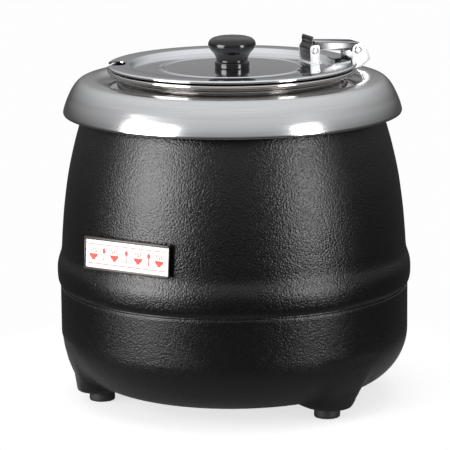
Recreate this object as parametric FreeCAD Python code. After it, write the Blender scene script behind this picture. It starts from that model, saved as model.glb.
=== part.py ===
"""Electric soup kettle with a lift-out inset pot and a hinged lid.

Frame: millimetres, +Z up, origin on the kettle's axis at the plane of the
foot soles, -Y is the front with the menu label towards -X, +Y is the rear
with the controls.  Every physical piece is its own solid in its own file.
"""
import FreeCAD
import Part
import os
from math import sin, cos, radians, pi, hypot

V = FreeCAD.Vector
os.makedirs("parts", exist_ok=True)

# ---------------------------------------------------------------- dimensions
BEAD_R = 170.0          # widest point, the bead round the shell's seam
WALL_R = 167.3          # vertical wall of the lower shell
BOTTOM_Z = 14.0         # underside of the lower shell
BOTTOM_R = 52.0         # radius of the lower shell's rounded corner
SEAM_Z = 109.6          # shoulder of the lower shell under the bead
SHELL_T = 1.0           # upper shell sheet
LOWER_T = 1.2           # lower shell sheet
FLANGE_Z = 295.0        # top of the upper shell's inward flange
COLLAR_T = 0.8          # stainless top ring sheet
OPENING_R = 119.8       # inner edge of the top ring
CREST_Z = 308.8         # highest line of the top ring
WELL_R = 113.0          # inner radius of the water well
WELL_FLOOR = 50.0       # wet floor of the water well
WELL_T = 0.8
POT_R = 110.0           # outer radius of the inset pot's wall
POT_FLOOR = 58.0        # underside of the inset pot
POT_T = 0.8
POT_RIM_Z = 318.1       # top of the pot's rolled rim
LID_R = 119.0
LID_EDGE_Z = 319.2      # underside of the lid's hem
LID_BAND_Z = 322.0      # top of the lid's outer band
LID_FLOOR_Z = 317.6     # top of the recessed middle
LID_T = 1.0
NOTCH_W = 25.0          # ladle notch, across
NOTCH_IN = 101.5        # ladle notch, inner end from the axis
KNOB_TOP = 347.2
FOOT_RING = 131.5       # radius of the circle of feet
FOOT_R = 12.4
FOOT_H = 10.0
FOOT_ANGLES = (-49.0, -167.0, 73.0)     # degrees from +X
HINGE_A = 23.0          # direction of the hinge from +X, degrees
PIN_REAR = (126.4, 327.6)               # radius and height of the rear pin
PIN_FRONT = (81.0, 329.5)
PIN_REAR_R = 2.5
PIN_FRONT_R = 2.0
RUN = 0.06              # radial running clearance of the pins
PANEL_Y = 149.0         # outer face of the recessed control panel
PANEL_T = 1.5
DIAL_X, DIAL_Z = -28.0, 62.0
LAMP_X, LAMP_Z = 8.0, 62.0
GLAND_X, GLAND_Z = 38.0, 56.0
GLAND_BORE_R = 3.6
SHAFT_R = 3.0
LABEL_AZ = 31.5         # direction the label faces, degrees left of front
LABEL_TILT = 4.5        # leans back with the wall, degrees
LABEL_OUT = 166.6       # back of the label holder from the axis
LABEL_SIDE = -12.5      # label centre along its own width
LABEL_Z = 162.8
LABEL_W, LABEL_H = 91.8, 31.0


# ------------------------------------------------------------------- helpers
def box(x0, x1, y0, y1, z0, z1):
    return Part.makeBox(x1 - x0, y1 - y0, z1 - z0, V(x0, y0, z0))


def cyl(r, p, d, length):
    return Part.makeCylinder(r, length, V(*p), V(*d))


def cone(r0, r1, p, d, length):
    return Part.makeCone(r0, r1, length, V(*p), V(*d))


def rev(points):
    """Solid of revolution about Z from a closed (r, z) outline."""
    pts = [V(r, 0, z) for r, z in points]
    face = Part.Face(Part.makePolygon(pts + [pts[0]]))
    return face.revolve(V(0, 0, 0), V(0, 0, 1), 360)


def arc(cr, cz, r, a0, a1, n):
    return [(cr + r * cos(radians(a0 + (a1 - a0) * i / n)),
             cz + r * sin(radians(a0 + (a1 - a0) * i / n))) for i in range(n + 1)]


def offset(path, t):
    """The path moved t to its left, with mitred corners."""
    out = []
    n = len(path)
    normals = []
    for (a, b), (c, d) in zip(path, path[1:]):
        dx, dz = c - a, d - b
        ln = hypot(dx, dz)
        normals.append((-dz / ln, dx / ln))
    for i, (r, z) in enumerate(path):
        if i == 0:
            nx, nz = normals[0]
            k = 1.0
        elif i == n - 1:
            nx, nz = normals[-1]
            k = 1.0
        else:
            nx = normals[i - 1][0] + normals[i][0]
            nz = normals[i - 1][1] + normals[i][1]
            ln = hypot(nx, nz)
            nx, nz = nx / ln, nz / ln
            k = 1.0 / max(0.4, nx * normals[i][0] + nz * normals[i][1])
        out.append((r + nx * t * k, z + nz * t * k))
    return out


def sheet(path, t):
    return rev(path + offset(path, t)[::-1])


def prism(points, plane, lo, hi):
    """Extrude a closed 2-D outline. plane 'uz' extrudes along y, 'xy' along z."""
    if plane == "uz":
        pts = [V(a, lo, b) for a, b in points]
        d = V(0, hi - lo, 0)
    elif plane == "xz":
        pts = [V(a, lo, b) for a, b in points]
        d = V(0, hi - lo, 0)
    else:
        pts = [V(a, b, lo) for a, b in points]
        d = V(0, 0, hi - lo)
    return Part.Face(Part.makePolygon(pts + [pts[0]])).extrude(d)


def hexagon(r, centre, axis, length):
    """Hexagonal prism, r across the corners."""
    pts = [V(r * cos(pi * k / 3), r * sin(pi * k / 3), 0) for k in range(6)]
    s = Part.Face(Part.makePolygon(pts + [pts[0]])).extrude(V(0, 0, length))
    s.Placement = FreeCAD.Placement(V(*centre), FreeCAD.Rotation(V(0, 0, 1), V(*axis)))
    return s


def fuse(*shapes):
    s = shapes[0]
    for o in shapes[1:]:
        s = s.fuse(o)
    return s.removeSplitter()


def cut(s, *tools):
    for t in tools:
        s = s.cut(t)
    return s


def turned(s, angle):
    s = s.copy()
    s.rotate(V(0, 0, 0), V(0, 0, 1), angle)
    return s


def polar(r, a):
    return r * cos(radians(a)), r * sin(radians(a))


NODES = {}


def node(name, shape, solids=1):
    """Check and keep a node: valid closed solids, as many as expected."""
    found = shape.Solids
    assert len(found) == solids, (name, len(found))
    for s in found:
        assert s.isValid() and s.isClosed() and s.Volume > 0, name
    NODES[name] = found[0] if solids == 1 else Part.makeCompound(found)


# -------------------------------------------------------------- upper shell
UPPER = [(167.2, 111.0), (168.7, 113.5), (169.7, 117.5), (BEAD_R, 122.0),
         (BEAD_R, 127.5), (169.4, 132.5), (168.0, 137.5), (166.3, 142.5),
         (165.5, 148.5), (165.0, 157.0), (164.3, 166.0), (163.3, 178.0),
         (162.0, 190.0), (160.4, 202.0), (158.6, 214.0), (156.3, 226.0),
         (153.6, 238.0), (150.6, 250.0), (147.2, 262.0), (143.8, 274.0),
         (141.0, 283.0), (139.4, 290.0), (139.0, FLANGE_Z), (126.0, FLANGE_Z)]
upper_shell = sheet(UPPER, SHELL_T)

# -------------------------------------------------------------- lower shell
corner = arc(WALL_R - BOTTOM_R, BOTTOM_Z + BOTTOM_R, BOTTOM_R, -90, 0, 12)
inner_corner = arc(WALL_R - BOTTOM_R, BOTTOM_Z + BOTTOM_R, BOTTOM_R - LOWER_T, -90, 0, 12)
lower_outer = rev([(0, BOTTOM_Z)] + corner + [(WALL_R, SEAM_Z - 0.6), (WALL_R - 0.5, SEAM_Z),
                  (165.5, SEAM_Z + 0.8), (165.5, 120.0), (0, 120.0)])
lower_inner = rev([(0, BOTTOM_Z + LOWER_T)] + inner_corner +
                  [(WALL_R - LOWER_T, 106.0), (164.0, 109.0), (164.0, 121.0), (0, 121.0)])
# pressed leg bosses: the wall runs on down to a flat pad over each foot
BOSS_OUT = [(100, FOOT_H), (143, FOOT_H), (147, 11.5), (150.5, 15), (154.5, 20.6), (158.5, 29),
            (161.8, 38), (164.9, 50), (166.6, 62), (167.2, 70), (160, 75), (100, 75)]
BOSS_IN = [(100, FOOT_H + 1.5), (142.5, FOOT_H + 1.5), (146, 12.8), (149.2, 16), (153, 21.4),
           (157, 29.7), (160.3, 38.6), (163.4, 50.4), (165.1, 62.2), (165.7, 70), (159, 73), (100, 73)]
boss_out_ring = rev(BOSS_OUT)
boss_in_ring = rev(BOSS_IN)
for a in FOOT_ANGLES:
    fx, fy = polar(FOOT_RING, a)
    lower_outer = lower_outer.fuse(boss_out_ring.common(cone(18.0, 35.0, (fx, fy, 8), (0, 0, 1), 68)))
    lower_inner = lower_inner.fuse(boss_in_ring.common(cone(16.5, 33.5, (fx, fy, 8), (0, 0, 1), 68)))
lower_shell = lower_outer.cut(lower_inner)
lower_shell = cut(lower_shell, cyl(88.0, (0, 0, 5), (0, 0, 1), 15))

# control panel: a shallow tray let into the rear wall
TRAY_X, TRAY_Z0, TRAY_Z1 = 56.0, 33.0, 91.0
wall_fill = rev([(0, BOTTOM_Z)] + corner + [(WALL_R, SEAM_Z - 0.6), (0, SEAM_Z - 0.6)])
tray = box(-TRAY_X, TRAY_X, PANEL_Y - PANEL_T, 172, TRAY_Z0, TRAY_Z1).common(wall_fill)
tray = tray.cut(box(-TRAY_X + 1.5, TRAY_X - 1.5, PANEL_Y, 175, TRAY_Z0 + 1.5, TRAY_Z1 - 1.5))
lower_shell = lower_shell.cut(box(-TRAY_X, TRAY_X, 130, 175, TRAY_Z0, TRAY_Z1))

# -------------------------------------------------------------- top collar
COLLAR = [(160.3, 275.4), (161.3, 275.8), (161.7, 276.9), (161.1, 280.0), (159.9, 284.0),
          (158.4, 288.0), (156.6, 292.0), (154.7, 296.0), (152.9, 299.1), (150.8, 302.1), (148.6, 304.6),
          (146.9, 306.1), (144.9, 307.2), (142.0, 307.9), (135.5, 308.6), (131.5, 308.8),
          (128.0, 308.3), (124.9, 306.7), (122.5, 303.9), (120.9, 300.6), (120.1, 297.9), (120.1, 296.35)]
top_collar = sheet(COLLAR, COLLAR_T)

# -------------------------------------------------------------- water well
WELL = [(137.0, 296.2), (115.2, 296.2), (113.9, 295.2), (113.4, 293.0), (WELL_R, 284.0),
        (WELL_R, WELL_FLOOR + 12)]
WELL += arc(WELL_R - 12, WELL_FLOOR + 12, 12, 0, -90, 6)[1:]
well_under = offset(WELL + [(0.0, WELL_FLOOR)], WELL_T)
water_pan = rev(WELL + [(0.0, WELL_FLOOR)] + well_under[::-1])

stud_holes = []
studs = []
nuts = []
for a in (30.0, 150.0, 270.0):
    x, y = polar(131.0, a)
    stud_holes.append(cyl(2.2, (x, y, 285), (0, 0, 1), 14))
    s = cyl(2.0, (x, y, 287), (0, 0, 1), 24).cut(top_collar)
    s = sorted(s.Solids, key=lambda q: q.BoundBox.ZMin)[0]
    studs.append(s)
    nuts.append(hexagon(4.2, (x, y, 290.6), (0, 0, 1), FLANGE_Z - SHELL_T - 290.6).cut(
        cyl(2.05, (x, y, 285), (0, 0, 1), 14)))
upper_shell = cut(upper_shell, *stud_holes)
water_pan = cut(water_pan, *stud_holes)
node("top_collar", top_collar)
node("collar_studs", Part.makeCompound(studs), 3)
node("collar_nuts", Part.makeCompound(nuts), 3)
node("water_pan", water_pan)

# ---------------------------------------------------- heater and base parts
heater = rev([(25, 41), (88, 41), (88, 49), (25, 49)])
node("heating_element", heater)
node("heater_clamp_plate", cyl(92, (0, 0, 39), (0, 0, 1), 2).cut(cyl(3.2, (0, 0, 38), (0, 0, 1), 4)))
node("centre_stud", cyl(3.0, (0, 0, 6), (0, 0, 1), 43))
node("heater_nut", hexagon(6.2, (0, 0, 34.5), (0, 0, 1), 4.5).cut(cyl(3.05, (0, 0, 30), (0, 0, 1), 12)))
node("thermal_cutout", fuse(cyl(8, (50, 0, 35), (0, 0, 1), 4), box(41, 59, -3, 3, 34, 35)))

base_holes = [cyl(2.0, (*polar(96, a), 9), (0, 0, 1), 12) for a in (45, 135, 225, 315)]
base_plate = cyl(104, (0, 0, 12.5), (0, 0, 1), 1.5).cut(cyl(3.2, (0, 0, 10), (0, 0, 1), 6))
base_plate = cut(base_plate, *base_holes)
node("base_plate", base_plate)
lower_shell = cut(lower_shell, *base_holes)
screws = []
clips = []
for a in (45, 135, 225, 315):
    x, y = polar(96, a)
    screws.append(fuse(cyl(1.9, (x, y, 12.5), (0, 0, 1), 7), cyl(3.6, (x, y, 10.3), (0, 0, 1), 2.2)))
    clips.append(hexagon(3.8, (x, y, BOTTOM_Z + LOWER_T), (0, 0, 1), 2.6).cut(cyl(1.95, (x, y, 12), (0, 0, 1), 9)))
node("base_screws", Part.makeCompound(screws), 4)
node("base_nuts", Part.makeCompound(clips), 4)
node("base_centre_nut", hexagon(6.2, (0, 0, 8), (0, 0, 1), 4.5).cut(cyl(3.05, (0, 0, 5), (0, 0, 1), 9)))
block = box(-8, 18, 68, 82, BOTTOM_Z, 29)
for i in range(3):
    block = block.cut(cyl(1.6, (-3 + 8 * i, 75, 22), (0, 0, 1), 8))
node("terminal_block", block)

feet, foot_screws, foot_nuts = [], [], []
for a in FOOT_ANGLES:
    x, y = polar(FOOT_RING, a)
    f = cone(FOOT_R - 0.6, FOOT_R, (x, y, 0), (0, 0, 1), 1.5).fuse(
        cone(FOOT_R, FOOT_R - 1.2, (x, y, 1.5), (0, 0, 1), FOOT_H - 1.5)).removeSplitter()
    f = cut(f, cyl(6.0, (x, y, -1), (0, 0, 1), 5), cyl(2.05, (x, y, 0), (0, 0, 1), 12))
    feet.append(f)
    foot_screws.append(fuse(cyl(2.0, (x, y, 4), (0, 0, 1), 12.5), cyl(4.6, (x, y, 1.6), (0, 0, 1), 2.4)))
    foot_nuts.append(hexagon(4.2, (x, y, FOOT_H + 1.5), (0, 0, 1), 3).cut(cyl(2.05, (x, y, 8), (0, 0, 1), 9)))
    lower_shell = lower_shell.cut(cyl(2.2, (x, y, 8), (0, 0, 1), 5))
node("rubber_feet", Part.makeCompound(feet), 3)
node("foot_screws", Part.makeCompound(foot_screws), 3)
node("foot_nuts", Part.makeCompound(foot_nuts), 3)

# ---------------------------------------------------------------- controls
tray = cut(tray, cyl(5.1, (DIAL_X, 140, DIAL_Z), (0, 1, 0), 15),
           cyl(5.0, (LAMP_X, 140, LAMP_Z), (0, 1, 0), 15),
           cyl(6.6, (GLAND_X, 140, GLAND_Z), (0, 1, 0), 15))
panel_screws = []
for x in (-49.0, 49.0):
    for z in (39.5, 84.5):
        tray = tray.cut(cyl(1.6, (x, 140, z), (0, 1, 0), 15))
        panel_screws.append(fuse(cyl(1.5, (x, 142, z), (0, 1, 0), PANEL_Y - 142),
                                 cyl(3.0, (x, PANEL_Y, z), (0, 1, 0), 1.8)))
node("control_panel", tray)
node("panel_screws", Part.makeCompound(panel_screws), 4)

PANEL_IN = PANEL_Y - PANEL_T
thermostat = fuse(box(DIAL_X - 17, DIAL_X + 17, 122, PANEL_IN, DIAL_Z - 17, DIAL_Z + 17),
                  cyl(5.0, (DIAL_X, PANEL_IN - 1, DIAL_Z), (0, 1, 0), 6.0))
thermostat = thermostat.cut(cyl(SHAFT_R + RUN, (DIAL_X, 131, DIAL_Z), (0, 1, 0), 30))
node("thermostat_body", thermostat)
node("thermostat_nut", hexagon(7.6, (DIAL_X, PANEL_Y, DIAL_Z), (0, 1, 0), 2.4).cut(
    cyl(5.05, (DIAL_X, 140, DIAL_Z), (0, 1, 0), 15)))
node("thermostat_shaft", cyl(SHAFT_R, (DIAL_X, 132, DIAL_Z), (0, 1, 0), 31))
dial = fuse(cone(18.0, 17.2, (DIAL_X, 153.2, DIAL_Z), (0, 1, 0), 3.0),
            cone(14.0, 12.8, (DIAL_X, 156.2, DIAL_Z), (0, 1, 0), 9.8))
dial = cut(dial, cyl(SHAFT_R, (DIAL_X, 150, DIAL_Z), (0, 1, 0), 13),
           box(DIAL_X - 20, DIAL_X - 5.0, 158.5, 170, DIAL_Z - 20, DIAL_Z + 20),
           box(DIAL_X + 5.0, DIAL_X + 20, 158.5, 170, DIAL_Z - 20, DIAL_Z + 20))
node("control_dial", dial)

lamp = fuse(cyl(4.9, (LAMP_X, 136, LAMP_Z), (0, 1, 0), 13.5),
            cone(6.6, 4.4, (LAMP_X, PANEL_Y, LAMP_Z), (0, 1, 0), 4.0))
node("indicator_lamp", lamp)
gland = fuse(cyl(6.4, (GLAND_X, 140, GLAND_Z), (0, 1, 0), 10),
             hexagon(9.6, (GLAND_X, PANEL_Y, GLAND_Z), (0, 1, 0), 4.5),
             cone(8.4, 6.6, (GLAND_X, PANEL_Y + 4.5, GLAND_Z), (0, 1, 0), 5.0))
gland = gland.cut(cyl(GLAND_BORE_R, (GLAND_X, 135, GLAND_Z), (0, 1, 0), 30))
node("cord_gland", gland)
node("gland_nut", hexagon(9.6, (GLAND_X, PANEL_IN - 4.2, GLAND_Z), (0, 1, 0), 4.2).cut(
    cyl(6.45, (GLAND_X, 135, GLAND_Z), (0, 1, 0), 25)))


def rod_chain(points, r):
    s = None
    for p, q in zip(points, points[1:]):
        d = V(*q) - V(*p)
        c = Part.makeCylinder(r, d.Length, V(*p), d)
        s = c if s is None else s.fuse(c)
    for p in points[1:-1]:
        s = s.fuse(Part.makeSphere(r, V(*p)))
    return s


sensing = cyl(3.0, (-60, 30, 36), (1, 0, 0), 44).fuse(
    rod_chain([(-60, 30, 36), (-72, 60, 36), (-78, 98, 43), (-52, 120, 58), (DIAL_X - 17, 132, 60)], 1.0))
node("sensing_tube", sensing)

# ------------------------------------------------------------------- label
n = V(-sin(radians(LABEL_AZ)), -cos(radians(LABEL_AZ)), 0)
ex = V(cos(radians(LABEL_AZ)), -sin(radians(LABEL_AZ)), 0)
tl = radians(LABEL_TILT)
nt = V(n.x * cos(tl), n.y * cos(tl), sin(tl))
ey = nt.cross(ex)
o = n * LABEL_OUT + ex * LABEL_SIDE + V(0, 0, LABEL_Z)
m = FreeCAD.Matrix(ex.x, ey.x, nt.x, o.x, ex.y, ey.y, nt.y, o.y, ex.z, ey.z, nt.z, o.z, 0, 0, 0, 1)


def on_label(s):
    s = s.copy()
    s.Placement = FreeCAD.Placement(m)
    return s


hw, hh = LABEL_W / 2, LABEL_H / 2
holder = fuse(box(-hw, hw, -hh, hh, 0, 1.0),
              box(-hw, hw, hh - 1.2, hh, 1.0, 3.2), box(-hw, hw, -hh, -hh + 1.2, 1.0, 3.2),
              box(-hw, hw, hh - 2.6, hh, 2.4, 3.2), box(-hw, hw, -hh, -hh + 2.6, 2.4, 3.2),
              box(-hw, -hw + 1.2, -hh, hh, 1.0, 3.2))
rivet_holes = [cyl(1.6, (x, 0, -12), (0, 0, 1), 14) for x in (2.5, 22.5)]
holder = cut(holder, *rivet_holes)
node("label_holder", on_label(holder))
card = box(-hw + 1.5, hw - 0.4, -hh + 1.5, hh - 1.5, 1.3, 2.1)
node("label_card", on_label(card))
pad = on_label(box(-6, 31, -8, 8, -14, 0)).cut(rev([(0, 100)] + UPPER[:-1] + [(0, FLANGE_Z)]))
pad = sorted(pad.Solids, key=lambda q: -q.Volume)[0]
for h in rivet_holes:
    pad = pad.cut(on_label(h))
    upper_shell = upper_shell.cut(on_label(h))
node("label_bracket", pad)
node("label_rivets", Part.makeCompound([on_label(cyl(1.55, (x, 0, -6.5), (0, 0, 1), 7.4))
                                        for x in (2.5, 22.5)]), 2)
node("upper_shell", upper_shell)
node("lower_shell", lower_shell)

# --------------------------------------------------------------- inset pot
POT = [(98.0, POT_FLOOR)] + arc(99.0, POT_FLOOR + 11, 11, -80, 0, 6) + \
      [(POT_R, POT_FLOOR + 16), (POT_R, 310.3), (113.4, 311.6), (116.6, 313.0), (118.3, 314.5),
       (118.8, 316.2), (118.0, 317.5), (116.4, POT_RIM_Z), (114.8, 317.7), (114.0, 316.9)]
pot_in = offset([(0.0, POT_FLOOR)] + POT, POT_T)
inset_pot = rev([(0.0, POT_FLOOR)] + POT + pot_in[::-1])
# support ring welded round the neck; it hangs the pot on the well's flange
ring = rev([(POT_R - 0.6, 296.5), (117.0, 296.5), (117.0, 299.0), (POT_R - 0.6, 299.0)])
inset_pot = inset_pot.fuse(ring).removeSplitter()

# ----------------------------------------------------------- rim bracket
ru, rz = PIN_REAR
fu, fz = PIN_FRONT
cheek = [(120.2, 309.3), (123.6, 309.7), (130.8, 311.4), (139.9, 318.2), (135.4, 328.0),
         (131.4, 332.2), (126.6, 333.2), (121.8, 331.2), (120.2, 326.0)]
bracket = None
for s in (-1, 1):
    lo, hi = sorted((s * 12.6, s * 13.6))
    c = prism(cheek, "uz", lo, hi)
    bracket = c if bracket is None else bracket.fuse(c)
bracket = bracket.fuse(box(120.2, 121.4, -12.6, 12.6, 308.9, 320.5))
bracket = bracket.fuse(prism([(130.8, 311.4), (139.9, 318.2), (139.3, 319.0), (130.3, 312.3)], "uz", -12.6, 12.6))
tongue = box(100, 121.4, -9, 9, 308.9, 309.9).fuse(
    rev([(POT_R, 302.0), (POT_R + 1.2, 302.0), (POT_R + 1.2, 309.9), (POT_R, 309.9)]).common(
        box(100, 121.4, -9, 9, 300, 312)))
tongue = tongue.cut(cyl(POT_R, (0, 0, 290), (0, 0, 1), 40))
bracket = bracket.fuse(tongue).removeSplitter()
bracket = bracket.cut(cyl(PIN_REAR_R, (ru, -20, rz), (0, 1, 0), 40))
rivs = []
for v in (-5.2, 5.2):
    hole = cyl(1.5, (100, v, 305.0), (1, 0, 0), 20)
    inset_pot = inset_pot.cut(turned(hole, HINGE_A))
    bracket = bracket.cut(hole)
    rivs.append(turned(fuse(cyl(1.5, (107.2, v, 305.0), (1, 0, 0), 5.2),
                            cyl(2.6, (112.0, v, 305.0), (1, 0, 0), 1.2),
                            cyl(2.6, (106.6, v, 305.0), (1, 0, 0), 1.2)), HINGE_A))
node("inset_pot", inset_pot)
node("rim_bracket", turned(bracket, HINGE_A))
node("rim_bracket_rivets", Part.makeCompound(rivs), 2)
rear_pin = fuse(cyl(PIN_REAR_R, (ru, -14.2, rz), (0, 1, 0), 28.4),
                cyl(3.7, (ru, -14.6, rz), (0, 1, 0), 0.9), cyl(3.7, (ru, 13.7, rz), (0, 1, 0), 0.9))
rear_pin = rear_pin.cut(cyl(1.5, (ru, -20, rz), (0, 1, 0), 40))     # tubular rivet
node("rear_hinge_pin", turned(rear_pin, HINGE_A))

# -------------------------------------------------------------- hinge arm
flange = [(81.8, 337.8), (79.6, 333.6), (78.2, 329.6), (78.8, 327.0), (81.0, 325.9), (83.6, 326.8), (86.4, 329.4),
          (90.0, 329.3), (118.0, 327.4), (121.8, 325.0), (126.4, 323.2), (130.2, 325.4), (131.2, 329.2), (128.5, 334.3)]
arm = prism([(81.8, 338.2), (128.5, 334.7), (128.5, 333.7), (81.8, 337.2)], "uz", -11.6, 11.6)
for s in (-1, 1):
    lo, hi = sorted((s * 10.6, s * 11.6))
    arm = arm.fuse(prism(flange, "uz", lo, hi))
arm = arm.removeSplitter()
arm = cut(arm, cyl(PIN_REAR_R + RUN, (ru, -20, rz), (0, 1, 0), 40), cyl(PIN_FRONT_R, (fu, -20, fz), (0, 1, 0), 40))
node("hinge_arm", turned(arm, HINGE_A))
front_pin = fuse(cyl(PIN_FRONT_R, (fu, -14.2, fz), (0, 1, 0), 28.4),
                 cyl(3.4, (fu, -14.9, fz), (0, 1, 0), 0.9), cyl(3.4, (fu, 14.0, fz), (0, 1, 0), 0.9))
front_pin = front_pin.cut(cyl(1.2, (fu, -20, fz), (0, 1, 0), 40))
node("front_hinge_pin", turned(front_pin, HINGE_A))

# --------------------------------------------------------------------- lid
lid = rev([(0, LID_FLOOR_Z), (64.5, LID_FLOOR_Z), (66.0, LID_FLOOR_Z + 0.8), (68.0, LID_FLOOR_Z + 0.8),
           (69.5, LID_FLOOR_Z), (94.6, LID_FLOOR_Z), (97.6, LID_BAND_Z), (117.6, LID_BAND_Z),
           (118.6, 321.5), (LID_R, 320.7), (118.6, 319.7), (117.6, LID_EDGE_Z), (116.6, 319.5), (116.2, 320.2),
           (116.4, LID_BAND_Z - LID_T), (98.3, LID_BAND_Z - LID_T), (95.3, LID_FLOOR_Z - LID_T),
           (70.0, LID_FLOOR_Z - LID_T), (68.5, LID_FLOOR_Z - 0.2), (65.5, LID_FLOOR_Z - 0.2),
           (64.0, LID_FLOOR_Z - LID_T), (0, LID_FLOOR_Z - LID_T)])
notch = fuse(box(-125, -NOTCH_IN - 6, -NOTCH_W / 2, NOTCH_W / 2, 310, 330),
             box(-125, -NOTCH_IN, -NOTCH_W / 2 + 6, NOTCH_W / 2 - 6, 310, 330),
             cyl(6, (-NOTCH_IN - 6, NOTCH_W / 2 - 6, 310), (0, 0, 1), 20),
             cyl(6, (-NOTCH_IN - 6, -NOTCH_W / 2 + 6, 310), (0, 0, 1), 20))
lid = lid.cut(notch)
lid = lid.cut(cyl(2.55, (0, 0, 310), (0, 0, 1), 20))

lid_cheek = [(76.2, LID_FLOOR_Z), (85.6, LID_FLOOR_Z), (85.6, 324.0), (86.0, fz), (76.0, fz), (76.2, 324.0)]
lb = fuse(box(76.0, 88.6, -13.6, 13.6, LID_FLOOR_Z, LID_FLOOR_Z + 1.0),
          prism(lid_cheek, "uz", -13.6, -12.6), prism(lid_cheek, "uz", 12.6, 13.6),
          cyl(5.0, (fu, -13.6, fz), (0, 1, 0), 1.0), cyl(5.0, (fu, 12.6, fz), (0, 1, 0), 1.0))
lb = lb.cut(cyl(PIN_FRONT_R + RUN, (fu, -20, fz), (0, 1, 0), 40))
lrivs = []
leaf = [(87.0, 318.72), (80.4, 318.72), (78.5, 319.4), (77.4, 320.9), (77.2, 323.2), (76.6, 326.0), (76.1, 329.2),
        (76.4, 332.2), (77.6, 334.6), (78.4, 336.2), (78.4, 338.2), (78.2, 340.0), (78.7, 341.8), (79.4, 343.2)]
leaf_s = prism(leaf + offset(leaf, -0.8)[::-1], "uz", -12.2, 12.2)
for v in (-7.0, 7.0):
    hole = cyl(1.5, (84.0, v, 312), (0, 0, 1), 12)
    lid = lid.cut(turned(hole, HINGE_A))
    lb = lb.cut(hole)
    leaf_s = leaf_s.cut(hole)
    lrivs.append(turned(fuse(cyl(1.5, (84.0, v, 316.0), (0, 0, 1), 4.4),
                             cyl(2.5, (84.0, v, 315.6), (0, 0, 1), 1.0),
                             cyl(2.5, (84.0, v, 319.55), (0, 0, 1), 0.95)), HINGE_A))
node("lid", lid)
node("lid_bracket", turned(lb, HINGE_A))
node("lid_clip_spring", turned(leaf_s, HINGE_A))
node("lid_bracket_rivets", Part.makeCompound(lrivs), 2)

knob = rev([(2.5, LID_FLOOR_Z), (16.2, LID_FLOOR_Z), (16.6, LID_FLOOR_Z + 0.5), (16.6, 322.4), (15.2, 323.4),
            (14.9, 324.8), (15.4, 327.2), (16.8, 330.6), (19.4, 333.6), (21.8, 336.2), (22.8, 338.8),
            (22.7, 341.4), (21.4, 343.8), (18.8, 345.6), (15.0, 346.8), (12.0, KNOB_TOP), (0, KNOB_TOP),
            (0, 335.0), (2.5, 335.0)])
node("lid_knob", knob)
node("knob_washer", cyl(7.5, (0, 0, LID_FLOOR_Z - LID_T - 1.0), (0, 0, 1), 1.0).cut(cyl(2.55, (0, 0, 310), (0, 0, 1), 12)))
node("knob_screw", fuse(cyl(2.5, (0, 0, 314.0), (0, 0, 1), 20.0), cyl(5.0, (0, 0, 313.0), (0, 0, 1), 2.6)))

# ------------------------------------------------------------------ export
total = None
for name, shape in NODES.items():
    shape.exportStep("parts/%s.step" % name)
    bb = shape.BoundBox
    total = bb if total is None else total.united(bb)
print(len(NODES), "nodes", [round(x, 2) for x in (total.XMin, total.XMax, total.YMin, total.YMax, total.ZMin, total.ZMax)])
print("label", [round(q, 5) for q in (ex.x, ex.y, ex.z)], [round(q, 2) for q in (o.x, o.y, o.z)])
for nm, (u, z) in (("rear", PIN_REAR), ("front", PIN_FRONT)):
    print(nm, "pin", [round(q / 1000, 5) for q in (*polar(u, HINGE_A), z)])
print("axis", round(-sin(radians(HINGE_A)), 6), round(cos(radians(HINGE_A)), 6))
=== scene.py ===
import bpy, bmesh, math
import numpy as np
from math import sin, cos, radians, pi, atan2, hypot
from mathutils import Vector, Matrix


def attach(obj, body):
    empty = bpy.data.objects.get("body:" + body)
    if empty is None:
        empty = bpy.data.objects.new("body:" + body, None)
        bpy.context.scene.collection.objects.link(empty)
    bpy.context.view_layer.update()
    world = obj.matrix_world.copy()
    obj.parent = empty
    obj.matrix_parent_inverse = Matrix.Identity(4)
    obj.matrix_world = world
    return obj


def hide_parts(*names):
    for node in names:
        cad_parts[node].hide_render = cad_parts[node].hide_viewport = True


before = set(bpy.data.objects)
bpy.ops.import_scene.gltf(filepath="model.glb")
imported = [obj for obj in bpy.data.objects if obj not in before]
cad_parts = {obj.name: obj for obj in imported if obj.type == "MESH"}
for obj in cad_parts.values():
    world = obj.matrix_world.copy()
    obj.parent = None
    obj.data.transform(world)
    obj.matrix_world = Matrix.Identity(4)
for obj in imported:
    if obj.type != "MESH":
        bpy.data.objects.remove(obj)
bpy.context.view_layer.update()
MM = 0.001

# ------------------------------------------------------------------ geometry
def link(ob):
    bpy.context.scene.collection.objects.link(ob)
    return ob


def make(name, verts, faces, sharp=32.0, merge=0.0):
    """A mesh object from millimetre coordinates, smooth shaded with sharp edges kept."""
    me = bpy.data.meshes.new(name)
    me.from_pydata([tuple(c * MM for c in v) for v in verts], [], faces)
    me.update()
    ob = link(bpy.data.objects.new(name, me))
    tidy(ob, sharp, merge)
    return ob


def tidy(ob, sharp=32.0, merge=0.0):
    me = ob.data
    bm = bmesh.new()
    bm.from_mesh(me)
    if merge:
        bmesh.ops.remove_doubles(bm, verts=bm.verts, dist=merge * MM)
    bmesh.ops.recalc_face_normals(bm, faces=bm.faces)
    lim = radians(sharp)
    for f in bm.faces:
        f.smooth = True
    for e in bm.edges:
        e.smooth = len(e.link_faces) == 2 and e.calc_face_angle(0.0) < lim
    bm.to_mesh(me)
    bm.free()


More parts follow.
